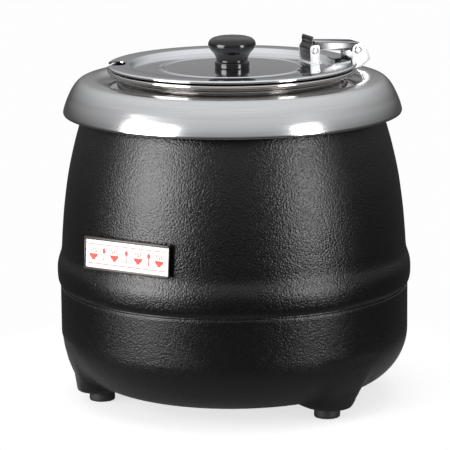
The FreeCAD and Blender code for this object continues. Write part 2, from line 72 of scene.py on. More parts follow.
def rounded(pts, closed=True, n=5):
    """Closed outline with corners filleted where a point carries a third number, its radius."""
    out = []
    m = len(pts)
    for i, p in enumerate(pts):
        r = p[2] if len(p) > 2 else 0.0
        if r <= 0 or (not closed and i in (0, m - 1)):
            out.append((p[0], p[1]))
            continue
        a, b, c = np.array(pts[i - 1][:2], float), np.array(p[:2], float), np.array(pts[(i + 1) % m][:2], float)
        u, w = a - b, c - b
        lu, lw = np.linalg.norm(u), np.linalg.norm(w)
        u, w = u / lu, w / lw
        ang = math.acos(max(-1, min(1, float(u @ w))))
        if ang > 3.13:
            out.append((p[0], p[1]))
            continue
        t = min(r / math.tan(ang / 2), 0.48 * lu, 0.48 * lw)
        r = t * math.tan(ang / 2)
        mid = (u + w) / np.linalg.norm(u + w)
        cen = b + mid * (r / math.sin(ang / 2))
        s, e = b + u * t - cen, b + w * t - cen
        a0, a1 = atan2(s[1], s[0]), atan2(e[1], e[0])
        d = (a1 - a0 + pi) % (2 * pi) - pi
        for k in range(n + 1):
            q = a0 + d * k / n
            out.append((cen[0] + r * cos(q), cen[1] + r * sin(q)))
    return out


def spline(pts, step=1.5):
    """Smooth open path through the points, about step apart (Catmull-Rom)."""
    P = np.array(pts, float)
    P = np.vstack([2 * P[0] - P[1], P, 2 * P[-1] - P[-2]])
    out = []
    for i in range(1, len(P) - 2):
        p0, p1, p2, p3 = P[i - 1], P[i], P[i + 1], P[i + 2]
        t01, t12, t23 = (max(1e-6, np.linalg.norm(b - a)) ** 0.5 for a, b in ((p0, p1), (p1, p2), (p2, p3)))
        m1 = (p2 - p1) + t12 * ((p1 - p0) / t01 - (p2 - p0) / (t01 + t12))
        m2 = (p2 - p1) + t12 * ((p3 - p2) / t23 - (p3 - p1) / (t12 + t23))
        n = max(1, int(round(np.linalg.norm(p2 - p1) / step)))
        for k in range(n):
            t = k / n
            h = np.array([2 * t**3 - 3 * t**2 + 1, t**3 - 2 * t**2 + t, -2 * t**3 + 3 * t**2, t**3 - t**2])
            out.append(tuple(h[0] * p1 + h[1] * m1 + h[2] * p2 + h[3] * m2))
    out.append(tuple(P[-2]))
    return out


def offset(path, t):
    """Path moved t to its left."""
    P = np.array(path, float)
    d = np.diff(P, axis=0)
    d /= np.linalg.norm(d, axis=1)[:, None]
    n = np.stack([-d[:, 1], d[:, 0]], 1)
    out = []
    for i in range(len(P)):
        if i == 0:
            v = n[0]
        elif i == len(P) - 1:
            v = n[-1]
        else:
            v = n[i - 1] + n[i]
            v = v / np.linalg.norm(v)
            v = v / max(0.5, float(v @ n[i]))
        out.append((P[i, 0] + v[0] * t, P[i, 1] + v[1] * t))
    return out


def lathe(name, outline, segs=224, sharp=32.0, centre=(0, 0, 0), axis="z"):
    """Solid of revolution from a closed (r, z) outline."""
    verts, rings = [], []
    for r, z in outline:
        if abs(r) < 1e-6:
            rings.append([len(verts)])
            verts.append((0, 0, z))
        else:
            k0 = len(verts)
            rings.append(list(range(k0, k0 + segs)))
            for k in range(segs):
                a = 2 * pi * k / segs
                verts.append((r * cos(a), r * sin(a), z))
    faces = []
    m = len(rings)
    for i in range(m):
        a, b = rings[i], rings[(i + 1) % m]
        if len(a) == 1 and len(b) == 1:
            continue
        for k in range(segs):
            k2 = (k + 1) % segs
            if len(a) == 1:
                faces.append((a[0], b[k2], b[k]))
            elif len(b) == 1:
                faces.append((a[k], a[k2], b[0]))
            else:
                faces.append((a[k], a[k2], b[k2], b[k]))
    if axis == "y":        # local z points along +Y
        verts = [(x, z, -y) for x, y, z in verts]
    elif axis == "v":      # local z points along +Y of the hinge frame
        verts = [(x, z, -y) for x, y, z in verts]
    verts = [(x + centre[0], y + centre[1], z + centre[2]) for x, y, z in verts]
    return make(name, verts, faces, sharp)


def slab(name, outline, lo, hi, plane="uz", bevel=0.25, sharp=32.0, segs=2):
    """A flat plate: closed 2-D outline given a thickness, its edges broken."""
    def at(a, b, c):
        return {"uz": (a, c, b), "xy": (a, b, c), "yz": (c, a, b)}[plane]
    bm = bmesh.new()
    vs = [bm.verts.new(tuple(q * MM for q in at(a, b, lo))) for a, b in outline]
    f = bm.faces.new(vs)
    r = bmesh.ops.extrude_face_region(bm, geom=[f])
    top = [g for g in r["geom"] if isinstance(g, bmesh.types.BMVert)]
    d = Vector(at(0, 0, hi - lo)) * MM
    bmesh.ops.translate(bm, verts=top, vec=d)
    bmesh.ops.recalc_face_normals(bm, faces=bm.faces)
    if bevel:
        edges = [e for e in bm.edges if len(e.link_faces) == 2 and e.calc_face_angle(0.0) > radians(40)]
        bmesh.ops.bevel(bm, geom=edges, offset=bevel * MM, segments=segs, profile=0.5, affect="EDGES",
                        clamp_overlap=True)
    me = bpy.data.meshes.new(name)
    bm.to_mesh(me)
    bm.free()
    ob = link(bpy.data.objects.new(name, me))
    tidy(ob, sharp)
    return ob


def brick(name, x0, x1, y0, y1, z0, z1, bevel=0.3, segs=2):
    return slab(name, [(x0, y0), (x1, y0), (x1, y1), (x0, y1)], z0, z1, "xy", bevel, segs=segs)


def apply_mods(ob):
    dg = bpy.context.evaluated_depsgraph_get()
    dg.update()
    me = bpy.data.meshes.new_from_object(ob.evaluated_get(dg))
    ob.modifiers.clear()
    old = ob.data
    ob.data = me
    bpy.data.meshes.remove(old)
    return ob


def boolean(ob, other, op="DIFFERENCE", keep=False):
    m = ob.modifiers.new("b", "BOOLEAN")
    m.operation = op
    m.solver = "EXACT"
    m.object = other
    bpy.context.view_layer.update()
    apply_mods(ob)
    if not keep:
        bpy.data.objects.remove(other)
    return ob


def soften(ob, width=0.25, segs=2, angle=35, sharp=32.0):
    m = ob.modifiers.new("v", "BEVEL")
    m.width = width * MM
    m.segments = segs
    m.limit_method = "ANGLE"
    m.angle_limit = radians(angle)
    m.use_clamp_overlap = True
    m.harden_normals = False
    bpy.context.view_layer.update()
    apply_mods(ob)
    tidy(ob, sharp, 0.002)
    return ob


def join(name, obs):
    """Several closed meshes in one object."""
    bm = bmesh.new()
    for o in obs:
        me = o.data.copy()
        me.transform(o.matrix_world)
        bm.from_mesh(me)
        bpy.data.meshes.remove(me)
    me = bpy.data.meshes.new(name)
    bm.to_mesh(me)
    bm.free()
    for o in obs:
        old = o.data
        bpy.data.objects.remove(o)
        bpy.data.meshes.remove(old)
    return link(bpy.data.objects.new(name, me))


def move(ob, mat):
    ob.data.transform(mat)
    ob.data.update()
    return ob


HINGE_A = 23.0
ROT_H = Matrix.Rotation(radians(HINGE_A), 4, "Z")


def hexnut(name, r, centre, axis, length, hole=0.0):
    """Chamfered hexagon, r across corners, its base at centre, growing along axis 'z' or 'y'."""
    pts = [(r * cos(pi * k / 3), r * sin(pi * k / 3)) for k in range(6)]
    ob = slab(name, pts, 0, length, "xy", 0.35)
    if axis == "y":
        move(ob, Matrix.Rotation(radians(-90), 4, "X"))
    move(ob, Matrix.Translation(Vector(centre) * MM))
    return ob


# ----------------------------------------------------------------- materials
class Nodes:
    """Short-hand for building a node tree."""

    def __init__(self, name):
        self.mat = bpy.data.materials.new(name)
        self.mat.use_nodes = True
        self.t = self.mat.node_tree
        self.b = self.t.nodes["Principled BSDF"]
        self.co = self.t.nodes.new("ShaderNodeTexCoord").outputs["Object"]

    def n(self, kind, **kw):
        nd = self.t.nodes.new(kind)
        for k, v in kw.items():
            if k.startswith("i_"):
                nd.inputs[k[2:].replace("_", " ")].default_value = v
            else:
                setattr(nd, k, v)
        return nd

    def l(self, a, b):
        self.t.links.new(a, b)

    def scale(self, s, src=None):
        v = self.n("ShaderNodeVectorMath", operation="MULTIPLY")
        self.l(src or self.co, v.inputs[0])
        v.inputs[1].default_value = s if hasattr(s, "__len__") else (s, s, s)
        return v.outputs[0]

    def noise(self, scale, detail=3.0, rough=0.5, src=None, dist=0.0):
        nd = self.n("ShaderNodeTexNoise")
        nd.inputs["Scale"].default_value = scale
        nd.inputs["Detail"].default_value = detail
        nd.inputs["Roughness"].default_value = rough
        nd.inputs["Distortion"].default_value = dist
        self.l(src or self.co, nd.inputs["Vector"])
        return nd.outputs["Fac"]

    def voro(self, scale, feature="F1", smooth=0.6, src=None):
        nd = self.n("ShaderNodeTexVoronoi", feature=feature)
        nd.inputs["Scale"].default_value = scale
        if feature == "SMOOTH_F1":
            nd.inputs["Smoothness"].default_value = smooth
        self.l(src or self.co, nd.inputs["Vector"])
        return nd.outputs["Distance"]

    def math(self, op, a, b=0.0, clamp=False):
        nd = self.n("ShaderNodeMath", operation=op, use_clamp=clamp)
        for i, v in enumerate((a, b)):
            if isinstance(v, (int, float)):
                nd.inputs[i].default_value = v
            else:
                self.l(v, nd.inputs[i])
        return nd.outputs[0]

    def ramp(self, fac, stops, interp="LINEAR"):
        nd = self.n("ShaderNodeValToRGB")
        nd.color_ramp.interpolation = interp
        els = nd.color_ramp.elements
        while len(els) < len(stops):
            els.new(0.5)
        for e, (p, c) in zip(els, stops):
            e.position = p
            c = (c, c, c) if isinstance(c, (int, float)) else c
            e.color = (*c[:3], 1.0)
        self.l(fac, nd.inputs[0])
        return nd.outputs[0]

    def maprange(self, fac, a, b, c, d):
        nd = self.n("ShaderNodeMapRange")
        self.l(fac, nd.inputs[0])
        for i, v in enumerate((a, b, c, d)):
            nd.inputs[i + 1].default_value = v
        return nd.outputs[0]

    def bump(self, height, strength=0.3, dist=0.0002, normal=None):
        nd = self.n("ShaderNodeBump")
        nd.inputs["Strength"].default_value = strength
        nd.inputs["Distance"].default_value = dist
        self.l(height, nd.inputs["Height"])
        if normal is not None:
            self.l(normal, nd.inputs["Normal"])
        return nd.outputs[0]

    def polar(self, kr, kz, ka):
        """(radius * kr, z * kz, angle * ka): streaks that run round the axis."""
        sep = self.n("ShaderNodeSeparateXYZ")
        self.l(self.co, sep.inputs[0])
        x, y, z = sep.outputs
        r = self.math("SQRT", self.math("ADD", self.math("MULTIPLY", x, x), self.math("MULTIPLY", y, y)))
        a = self.math("ARCTAN2", y, x)
        c = self.n("ShaderNodeCombineXYZ")
        self.l(self.math("MULTIPLY", r, kr), c.inputs[0])
        self.l(self.math("MULTIPLY", z, kz), c.inputs[1])
        self.l(self.math("MULTIPLY", a, ka), c.inputs[2])
        return c.outputs[0]

    def set(self, **kw):
        for k, v in kw.items():
            s = self.b.inputs[k.replace("_", " ")]
            if isinstance(v, (int, float, tuple)):
                s.default_value = (*v, 1.0) if isinstance(v, tuple) and len(v) == 3 else v
            else:
                self.l(v, s)
        return self.mat


def mat_textured(name, col=0.0022, grain=1.0, rough=(0.24, 0.33)):
    """Leather-grained powder coat."""
    n = Nodes(name)
    warp = n.n("ShaderNodeVectorMath", operation="ADD")
    nn = n.n("ShaderNodeTexNoise")
    nn.inputs["Scale"].default_value = 130.0
    n.l(n.co, nn.inputs["Vector"])
    n.l(n.scale(0.0022, nn.outputs["Color"]), warp.inputs[1])
    n.l(n.co, warp.inputs[0])
    big = n.voro(600.0 / grain, "SMOOTH_F1", 0.55, warp.outputs[0])
    small = n.noise(900.0 / grain, 3.0, 0.6)
    wide = n.noise(26.0, 2.0, 0.5)
    h = n.math("ADD", n.math("MULTIPLY", big, -1.25), n.math("MULTIPLY", small, 0.55))
    b1 = n.bump(h, 0.60, 0.00040 * grain)
    tone = n.ramp(n.math("ADD", n.math("MULTIPLY", big, 0.9), n.math("MULTIPLY", wide, 0.35)),
                  [(0.15, col * 1.45), (0.55, col), (0.95, col * 0.45)])
    rg = n.maprange(n.math("ADD", n.math("MULTIPLY", small, 0.6), n.math("MULTIPLY", wide, 0.4)), 0.3, 0.7, rough[0], rough[1])
    n.b.inputs["Specular IOR Level"].default_value = 0.42
    return n.set(Base_Color=tone, Roughness=rg, Normal=b1)


def mat_satin(name, col=(0.62, 0.625, 0.635), rough=(0.12, 0.20), kr=900.0, kz=900.0, ka=2.2, bump=0.10):
    """Satin stainless, the brushing running round the axis."""
    n = Nodes(name)
    v = n.polar(kr, kz, ka)
    s = n.noise(1.0, 4.0, 0.65, v)
    s2 = n.noise(0.35, 2.0, 0.5, v)
    w = n.noise(14.0, 2.0, 0.5)
    tone = n.ramp(n.math("ADD", n.math("MULTIPLY", s, 0.7), n.math("MULTIPLY", s2, 0.3)),
                  [(0.25, tuple(c * 0.93 for c in col)), (0.75, tuple(min(1, c * 1.05) for c in col))])
    rg = n.maprange(n.math("ADD", n.math("MULTIPLY", s, 0.6), n.math("MULTIPLY", w, 0.4)), 0.3, 0.7, rough[0], rough[1])
    return n.set(Base_Color=tone, Metallic=1.0, Roughness=rg, Normal=n.bump(s, bump, 0.00006))


def mat_polished(name, col=(0.78, 0.785, 0.80), rough=(0.035, 0.085), smear=35.0, ka=None, bump=0.02):
    """Mirror-polished stainless with faint polishing marks and smears."""
    n = Nodes(name)
    v = n.polar(1400.0, 1400.0, 3.0) if ka is None else n.polar(1400.0, 1400.0, ka)
    fine = n.noise(1.0, 3.0, 0.6, v)
    sm = n.noise(smear, 3.0, 0.55, None, 0.6)
    tone = n.ramp(sm, [(0.3, tuple(c * 0.965 for c in col)), (0.7, col)])
    rg = n.maprange(n.math("ADD", n.math("MULTIPLY", fine, 0.5), n.math("MULTIPLY", sm, 0.5)), 0.35, 0.68, rough[0], rough[1])
    return n.set(Base_Color=tone, Metallic=1.0, Roughness=rg, Normal=n.bump(fine, bump, 0.00003))


def mat_plain(name, col, rough=(0.35, 0.5), metal=0.0, scale=240.0, bump=0.12, var=0.12, dist=0.0001):
    """Moulded or rolled stuff: mottled colour, uneven gloss, fine surface."""
    n = Nodes(name)
    a = n.noise(scale, 4.0, 0.6)
    b = n.noise(scale * 0.08, 2.0, 0.5)
    f = n.math("ADD", n.math("MULTIPLY", a, 0.5), n.math("MULTIPLY", b, 0.5))
    tone = n.ramp(f, [(0.3, tuple(c * (1 - var) for c in col)), (0.7, tuple(min(1, c * (1 + var)) for c in col))])
    return n.set(Base_Color=tone, Metallic=metal, Roughness=n.maprange(f, 0.3, 0.7, rough[0], rough[1]),
                 Normal=n.bump(a, bump, dist))


M = {
    "shell": mat_textured("textured_black_coat"),
    "lower": mat_textured("textured_black_coat_lower", grain=0.9, rough=(0.24, 0.33)),
    "collar": mat_satin("collar_satin_steel"),
    "lid": mat_polished("lid_mirror_steel", col=(0.76, 0.77, 0.80), rough=(0.05, 0.11)),
    # pot steel warmer and darker than the lid's steel: painted shade on the neck under the lid
    "rim": mat_polished("pot_rim_steel", col=(0.62, 0.60, 0.585), rough=(0.07, 0.14)),
    "pot": mat_satin("pot_brushed_steel", col=(0.60, 0.585, 0.57), rough=(0.2, 0.3)),
    "well": mat_satin("well_steel", col=(0.55, 0.55, 0.56), rough=(0.24, 0.36)),
    # light copy of the hinge steel: plated steel whose colour is raised as painted reflected light on the brackets
    "hinge": mat_plain("hinge_strip_steel", (0.84, 0.84, 0.85), (0.22, 0.36), 0.5, 420.0, 0.05, 0.04, 0.00004),
    "pin": mat_polished("hinge_pin_steel", col=(0.30, 0.30, 0.31), rough=(0.12, 0.24), smear=200.0),
    # near-black copy of the hinge steel: painted shade and dark reflection, not a darker metal
    "hinge_painted_shade": mat_polished("hinge_steel_painted_shade", col=(0.13, 0.13, 0.135), rough=(0.16, 0.30), smear=160.0),
    "knob": mat_plain("phenolic_black", (0.004, 0.004, 0.0045), (0.10, 0.18), 0.0, 90.0, 0.05, 0.25),
    "rubber": mat_plain("foot_rubber", (0.012, 0.012, 0.012), (0.55, 0.75), 0.0, 500.0, 0.35, 0.25, 0.0002),
    "zinc": mat_plain("zinc_plate", (0.52, 0.52, 0.49), (0.28, 0.42), 1.0, 300.0, 0.08, 0.08),
    "mould": mat_plain("black_moulding", (0.016, 0.016, 0.017), (0.35, 0.5), 0.0, 700.0, 0.3, 0.2, 0.00015),
    "white": mat_plain("white_moulding", (0.72, 0.71, 0.66), (0.4, 0.55), 0.0, 400.0, 0.1, 0.05),
    "cast": mat_plain("heater_casting", (0.55, 0.55, 0.56), (0.4, 0.55), 1.0, 260.0, 0.3, 0.08, 0.0002),
    "copper": mat_plain("copper_tube", (0.80, 0.44, 0.27), (0.25, 0.4), 1.0, 200.0, 0.08, 0.15),
    "frame": mat_plain("label_frame_enamel", (0.020, 0.012, 0.010), (0.28, 0.42), 0.0, 300.0, 0.12, 0.25),
    "paper": mat_plain("label_card", (0.86, 0.85, 0.82), (0.5, 0.62), 0.0, 900.0, 0.10, 0.03, 0.00005),
    "print": mat_plain("label_print", (0.62, 0.045, 0.03), (0.45, 0.6), 0.0, 900.0, 0.08, 0.12, 0.00005),
    "tick": mat_plain("panel_print", (0.62, 0.62, 0.60), (0.45, 0.6), 0.0, 700.0, 0.05, 0.05, 0.00005),
}


def mat_lens():
    n = Nodes("lamp_lens")
    a = n.noise(220.0, 2.0, 0.5)
    n.b.inputs["Transmission Weight"].default_value = 0.35
    n.b.inputs["IOR"].default_value = 1.49
    return n.set(Base_Color=n.ramp(a, [(0.3, (0.55, 0.06, 0.015)), (0.7, (0.80, 0.13, 0.03))]),
                 Roughness=n.maprange(a, 0.3, 0.7, 0.08, 0.16), Normal=n.bump(a, 0.05, 0.0001))


M["lens"] = mat_lens()


def dress(ob, mat, body, replaces=()):
    ob.data.materials.clear()
    ob.data.materials.append(M[mat])
    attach(ob, body)
    if replaces:
        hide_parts(*replaces)
    return ob


# -------------------------------------------------------------------- camera
cam = bpy.data.cameras.new("camera")
cam_ob = link(bpy.data.objects.new("camera", cam))
F_PX, ELEV, AIM_Z = 2900.0, radians(11.67), 0.164
DIST = F_PX * 170.0 / 176.5 * MM
ROLL, YAW = -0.010, 8.8 / F_PX
cam.sensor_width = 36.0
cam.lens = F_PX / 450.0 * 36.0
cam_ob.location = (0, -DIST * cos(ELEV), AIM_Z + DIST * sin(ELEV))
look = Matrix.Rotation(-YAW * -1.0, 4, "Z")
base = Matrix.Rotation(radians(90) - ELEV, 4, "X")
cam_ob.rotation_mode = "QUATERNION"
cam_ob.rotation_quaternion = (look @ base @ Matrix.Rotation(ROLL, 4, "Z")).to_quaternion()
bpy.context.scene.camera = cam_ob

# --------------------------------------------------------------- upper shell
UPPER = [(167.2, 111.0), (168.7, 113.5), (169.7, 117.5), (170.0, 122.0),
         (170.0, 127.5), (169.4, 132.5), (168.0, 137.5), (166.3, 142.5),
         (165.5, 148.5), (165.0, 157.0), (164.3, 166.0), (163.3, 178.0),
         (162.0, 190.0), (160.4, 202.0), (158.6, 214.0), (156.3, 226.0),
         (153.6, 238.0), (150.6, 250.0), (147.2, 262.0), (143.8, 274.0),
         (141.0, 283.0), (139.4, 290.0), (139.0, 294.3)]
path = spline(UPPER, 2.0) + [(138.4, 294.9), (137.6, 295.0), (126.0, 295.0)]
outline = path + offset(path, 1.0)[::-1]
shell = lathe("upper_shell_body", outline, 288, 50)
dress(shell, "shell", "kettle", ["upper_shell"])

# --------------------------------------------------------------- lower shell
FOOT_RING, FOOT_ANGLES = 131.5, (-49.0, -167.0, 73.0)


def lower_profile():
    p = [(88.0, 14.0), (100.0, 14.0)]
    p += [(115.3 + 52 * sin(radians(a)), 66 - 52 * cos(radians(a))) for a in np.linspace(0, 90, 27)]
    p += [(167.3, z) for z in np.linspace(70, 108.4, 14)]
    p += [(167.05, 109.2), (166.5, 109.6), (165.7, 109.7), (165.5, 110.6), (165.5, 120.0)]
    return p


BOSS = np.array([(100, 10.0), (140, 10.0), (144.5, 10.6), (147.5, 12.0), (150.3, 14.6), (154.5, 20.6), (158.5, 29.0),
                 (161.9, 38.0), (164.9, 50.0), (166.6, 62.0), (167.3, 72.0)])


def smooth(t):
    t = np.clip(t, 0, 1)
    return t * t * (3 - 2 * t)


def lower_surface(inset):
    """Rings of the lower shell's profile, moved in by inset along its normal."""
    prof = np.array(lower_profile())
    d = np.gradient(prof, axis=0)
    d /= np.linalg.norm(d, axis=1)[:, None]
    nrm = np.stack([d[:, 1], -d[:, 0]], 1)
    return prof - nrm * inset


SEG = 360
WIN_X, WIN_Z0, WIN_Z1 = 56.0, 33.0, 91.0
KW = 20


def lower_shell_mesh():
    prof = lower_profile()
    # rows on the window's lower and upper edges
    z_all = [q[1] for q in prof]
    arc_rows = []
    for (r0, z0), (r1, z1) in zip(prof, prof[1:]):
        arc_rows.append((r0, z0))
        for zc in (WIN_Z0, WIN_Z1):
            if z0 < zc - 0.4 and z1 > zc + 0.4 and z1 - z0 > 0:
                t = (zc - z0) / (z1 - z0)
                arc_rows.append((r0 + t * (r1 - r0), zc))
    arc_rows.append(prof[-1])
    # snap the nearest rows exactly
    P = np.array(arc_rows)
    for zc in (WIN_Z0, WIN_Z1):
        i = int(np.argmin(np.abs(P[:, 1] - zc) + (P[:, 0] < 120) * 99))
        P[i, 1] = zc
    d = np.gradient(P, axis=0)
    d /= np.linalg.norm(d, axis=1)[:, None]
    N = np.stack([d[:, 1], -d[:, 0]], 1)

    def surface(inset):
        out = np.zeros((len(P), SEG, 3))
        for i, (r, z) in enumerate(P - N * inset):
            half = math.asin(min(0.9, WIN_X / max(r, 90.0)))
            k = np.arange(SEG)
            kk = (k + SEG // 2) % SEG - SEG // 2           # -180..179 about +Y
            a = np.where(np.abs(kk) <= KW, kk / KW * half,
                         np.sign(kk) * (half + (np.abs(kk) - KW) / (SEG / 2 - KW) * (pi - half)))
            th = pi / 2 - a                                # angle from +X
            rr, zz = np.full(SEG, r), np.full(SEG, z)
            for fa in FOOT_ANGLES:
                fx, fy = FOOT_RING * cos(radians(fa)), FOOT_RING * sin(radians(fa))
                da = (th - radians(fa) + pi) % (2 * pi) - pi
                side = np.abs(da) * np.clip(r, 118, 150)    # arc distance from the leg's centre line
                # bottom pad: push the underside down to the pad
                if z < 40 and r < 150:
                    dist = np.hypot(r * np.cos(th) - fx, r * np.sin(th) - fy)
                    w = smooth((29.0 - dist) / 12.0)
                    zz = np.where(w > 0, zz * (1 - w) + (10.0 + inset) * w, zz)
                # outer flank: move along the ray from the corner centre onto the leg profile
                if 115.3 < r < 167.2 and z < 66:
                    halfw = 17.5 + 0.20 * max(0.0, z - 14)
                    w = smooth((halfw + 11.0 - side) / 15.0)
                    c0 = np.array([115.3, 66.0])
                    ray = np.array([r, z]) - c0
                    ray /= np.linalg.norm(ray)
                    hit = ray_hit(c0, ray)
                    if hit is not None:
                        tgt = hit - ray * inset
                        rr = rr * (1 - w) + tgt[0] * w
                        zz = np.where(w > 0, np.minimum(zz, zz * (1 - w) + tgt[1] * w), zz)
            out[i, :, 0] = rr * np.cos(th)
            out[i, :, 1] = rr * np.sin(th)
            out[i, :, 2] = zz
        return out

    def ray_hit(c0, ray):
        best = None
        for a, b in zip(BOSS, BOSS[1:]):
            e = b - a
            den = ray[0] * -e[1] + ray[1] * e[0]
            if abs(den) < 1e-9:
                continue
            q = a - c0
            t = (q[0] * -e[1] + q[1] * e[0]) / den
            s = (ray[0] * q[1] - ray[1] * q[0]) / den
            if t > 0 and -1e-6 <= s <= 1 + 1e-6:
                best = t if best is None else min(best, t)
        return None if best is None else c0 + ray * best

    A, B = surface(0.0), surface(1.2)
    R = len(P)
    verts = np.concatenate([A.reshape(-1, 3), B.reshape(-1, 3)])
    off = R * SEG
    i0 = int(np.argmin(np.abs(P[:, 1] - WIN_Z0) + (P[:, 0] < 120) * 99))
    i1 = int(np.argmin(np.abs(P[:, 1] - WIN_Z1) + (P[:, 0] < 120) * 99))

    def hole(i, k):
        kk = (k + SEG // 2) % SEG - SEG // 2
        return i0 <= i < i1 and -KW <= kk < KW

    faces = []
    for i in range(R - 1):
        for k in range(SEG):
            if hole(i, k):
                continue
            k2 = (k + 1) % SEG
            faces.append((i * SEG + k, i * SEG + k2, (i + 1) * SEG + k2, (i + 1) * SEG + k))
            faces.append((off + i * SEG + k, off + (i + 1) * SEG + k, off + (i + 1) * SEG + k2, off + i * SEG + k2))
    for i in (0, R - 1):
        for k in range(SEG):
            k2 = (k + 1) % SEG
            faces.append((i * SEG + k, off + i * SEG + k, off + i * SEG + k2, i * SEG + k2))
    ka, kb = (-KW) % SEG, KW
    for i in range(i0, i1):
        for k in (ka, kb):
            faces.append((i * SEG + k, (i + 1) * SEG + k, off + (i + 1) * SEG + k, off + i * SEG + k))
    for i in (i0, i1):
        for kk in range(-KW, KW):
            k, k2 = kk % SEG, (kk + 1) % SEG
            faces.append((i * SEG + k, i * SEG + k2, off + i * SEG + k2, off + i * SEG + k))
    return make("lower_shell_body", [tuple(v) for v in verts], faces, 50)


lower = lower_shell_mesh()
dress(lower, "lower", "kettle", ["lower_shell"])

# ---------------------------------------------------------------- top collar
COLLAR = [(161.3, 275.8), (161.7, 276.9), (161.1, 280.0), (159.9, 284.0), (158.4, 288.0), (156.6, 292.0), (154.7, 296.0),
          (152.9, 299.1), (150.8, 302.1), (148.6, 304.6), (146.7, 306.2)]
LAND = [(144.7, 307.25), (142.0, 307.9), (139.0, 308.25), (135.5, 308.6), (131.5, 308.8), (128.0, 308.3), (124.9, 306.7),
        (122.5, 303.9), (120.9, 300.6), (120.15, 297.9), (120.15, 296.4)]
path = spline([(159.9, 275.9), (160.5, 275.5)] + COLLAR, 1.0) + [(146.1, 306.6), (145.4, 306.95)] + spline(LAND, 1.0)
outline = path + offset(path, 0.75)[::-1]
collar = lathe("top_collar_ring", outline, 360, 60)
dress(collar, "collar", "kettle", ["top_collar"])

# ------------------------------------------------------------------ well pan
WELL = [(137.0, 296.2), (116.5, 296.2), (114.6, 295.6), (113.6, 293.6), (113.0, 288.0), (113.0, 62.0)]
WELL += [(101 + 12 * cos(radians(a)), 62 + 12 * sin(radians(a))) for a in range(-10, -91, -10)]
WELL += [(60.0, 50.0), (0.0, 50.0)]
under = offset(WELL, 0.75)
under[-1] = (0.0, under[-1][1])
well = lathe("well_pan_drawn", WELL + under[::-1], 224, 40)
dress(well, "well", "kettle", ["water_pan"])

# ----------------------------------------------------------------- inset pot
path = [(0.0, 58.0), (60.0, 58.0)] + [(99 + 11 * cos(radians(a)), 69 + 11 * sin(radians(a))) for a in range(-90, 1, 9)]
path += [(110.0, 90.0), (110.0, 200.0), (110.0, 300.0), (110.0, 308.5)]
path += spline([(110.2, 310.3), (111.6, 311.4), (114.2, 312.2), (116.6, 313.0), (118.3, 314.5), (118.8, 316.2),
                (118.0, 317.5), (116.4, 318.1), (114.8, 317.7), (114.0, 316.9)], 0.6)
ins = offset(path, 0.75)
ins[0] = (0.0, ins[0][1])
pot = lathe("inset_pot_body", path + ins[::-1], 288, 50)
pot_ring = lathe("pot_support_ring", rounded([(109.8, 296.55, 0.4), (117.0, 296.55, 0.6), (117.0, 299.0, 0.6), (109.8, 299.0, 0.4)]), 224)
potp = join("inset_pot_steel", [pot, pot_ring])
tidy(potp, 50)
dress(potp, "rim", "pot", ["inset_pot"])

# ----------------------------------------------------------------------- lid
L = [(0, 317.6), (63.6, 317.6, 2), (66.0, 318.3, 2.4), (68.0, 318.3, 2.4), (70.4, 317.6, 2), (94.2, 317.6, 1.6),
     (97.4, 322.0, 1.6), (117.2, 322.0, 1.6), (119.0, 321.2, 0.9), (119.0, 319.9, 0.7), (117.9, 319.2, 0.5),
     (116.7, 319.4, 0.4), (116.3, 321.0, 0.3), (98.2, 321.0, 1.0), (94.8, 316.6, 1.6), (0, 316.6)]
lid = lathe("lid_disc", rounded(L, n=6), 288, 40)
cutter = slab("cut", rounded([(-126, -12.5), (-101.5, -12.5, 7), (-101.5, 12.5, 7), (-126, 12.5)], n=8), 312, 326, "xy", 0)
boolean(lid, cutter)
tidy(lid, 40, 0.002)
dress(lid, "lid", "lid", ["lid"])

# ---------------------------------------------------------------------- knob
K = [(0, 347.2), (11.6, 347.2, 1.5), (15.0, 346.7, 6), (19.0, 345.5, 6), (21.6, 343.4, 6), (22.8, 340.4, 5),
     (22.5, 337.4, 6), (20.4, 334.4, 8), (17.6, 331.4, 8), (15.8, 328.2, 8), (15.0, 325.2, 2), (14.9, 323.9, 0.5),
     (15.9, 323.2, 0.5), (16.6, 322.6, 0.7), (16.6, 318.2, 0.5), (16.1, 317.62, 0.3), (0, 317.62)]
knob = lathe("lid_knob_grip", rounded(K, n=5), 160, 40)
dress(knob, "knob", "lid", ["lid_knob"])

# --------------------------------------------------------------------- hinge
RU, RZ = 126.4, 327.6
FU, FZ = 81.0, 329.5


def hollow_rivet(name, u, z, r_head, r_bore, half, head=1.0, rod=2.2):
    """A tubular rivet along the hinge's cross axis, both heads rolled over, both ends open."""
    pts = [(r_bore, -half - 0.2), (r_bore + 0.5, -half - head * 0.85), (r_head * 0.72, -half - head),
           (r_head - 0.25, -half - head * 0.6), (r_head, -half - 0.05), (rod, -half), (rod, half),
           (r_head, half + 0.05), (r_head - 0.25, half + head * 0.6), (r_head * 0.72, half + head),
           (r_bore + 0.5, half + head * 0.85), (r_bore, half + 0.2)]
    return lathe(name, pts, 64, 50, (u, 0, z), "v")


def cheek(name, pts, v0, v1, n=8):
    return slab(name, rounded(pts, n=n), v0, v1, "uz", 0.22)


# foot on the lid: base strip with two cheeks turned up
parts = [slab("lb_base", rounded([(76.0, -13.5, 0.4), (88.6, -13.5, 1.5), (88.6, 13.5, 1.5), (76.0, 13.5, 0.4)]), 317.62, 318.6, "xy", 0.25)]
for s in (-1, 1):
    lo, hi = sorted((s * 12.6, s * 13.6))
    parts.append(cheek("lb_c%d" % s, [(76.2, 317.8, 0.4), (85.7, 317.8, 0.6), (85.7, 324.0, 3), (86.1, 329.6, 4.5), (85.8, 334.5, 4.9),
                                      (81.0, 334.5, 4.9), (76.2, 334.5, 4.9), (75.9, 329.6, 4.5), (76.2, 324.0, 3)], lo, hi))
lb = join("lid_bracket_foot", parts)
move(lb, ROT_H)
dress(lb, "hinge", "lid", ["lid_bracket"])

